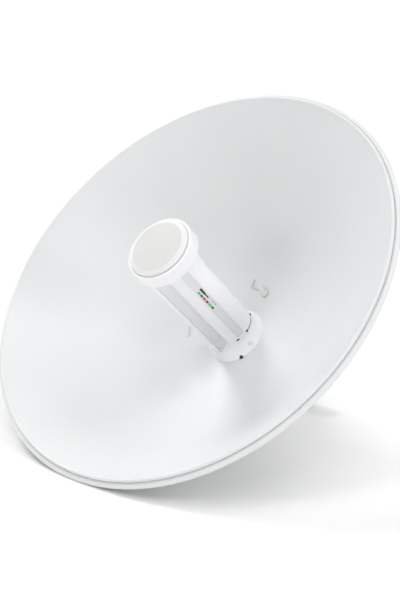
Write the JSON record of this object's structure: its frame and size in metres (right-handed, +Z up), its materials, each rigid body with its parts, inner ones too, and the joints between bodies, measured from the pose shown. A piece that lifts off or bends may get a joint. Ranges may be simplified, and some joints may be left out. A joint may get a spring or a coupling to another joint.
{
  "type": "parabolic dish antenna",
  "caption": "White stamped parabolic dish with a plug-in feed on its axis and a mast clamp behind, leaning back on its rim and clamp.",
  "frame": {"origin": "centre of the bounding box at floor level; the dish rests on the floor on its lowest rim point and on the back edge of the mast jaw", "axes": "+X to the right across the dish seen from in front, -Y the side that the dish faces, +Z up; the dish's axis leans back 45 degrees between -Y and +Z"},
  "size_m": [0.42, 0.2986, 0.2986],
  "materials": {
    "white_paint": "satin white powder coat",
    "white_plastic": "fine matt white moulding",
    "cap_plastic": "fine matt, slightly warm off-white moulding",
    "grey_plastic": "matt, slightly greyer moulding",
    "zinc_steel": "zinc plated, satin",
    "cast_metal": "fine cast surface",
    "bolt_steel": "bright plated",
    "black_rubber": "matt black"
  },
  "bodies": {
    "root": {"reflector": "white_paint", "feed_socket": "white_plastic", "feed_body": "white_plastic", "feed_cap": "cap_plastic", "port_door_right": "grey_plastic", "port_door_left": "grey_plastic", "status_strip": "grey_plastic", "flank_strip": "grey_plastic", "hub_clip_1": "cap_plastic", "hub_clip_2": "cap_plastic", "hub_clip_3": "cap_plastic", "rear_hub": "white_plastic", "rear_housing": "white_plastic", "cable_gland": "black_rubber", "standoff_1": "zinc_steel", "standoff_2": "zinc_steel", "standoff_3": "zinc_steel", "standoff_4": "zinc_steel", "plate_bolt_1": "bolt_steel", "plate_bolt_2": "bolt_steel", "plate_bolt_3": "bolt_steel", "plate_bolt_4": "bolt_steel", "mount_bracket": "zinc_steel", "tilt_bracket": "zinc_steel", "pivot_bolt": "bolt_steel", "pivot_nut": "bolt_steel", "lock_bolt": "bolt_steel", "lock_nut": "bolt_steel", "mast_saddle": "cast_metal", "mast_jaw": "cast_metal", "clamp_bolt_left": "bolt_steel", "clamp_bolt_right": "bolt_steel", "clamp_nut_left": "bolt_steel", "clamp_nut_right": "bolt_steel"}
  },
  "joints": []
}
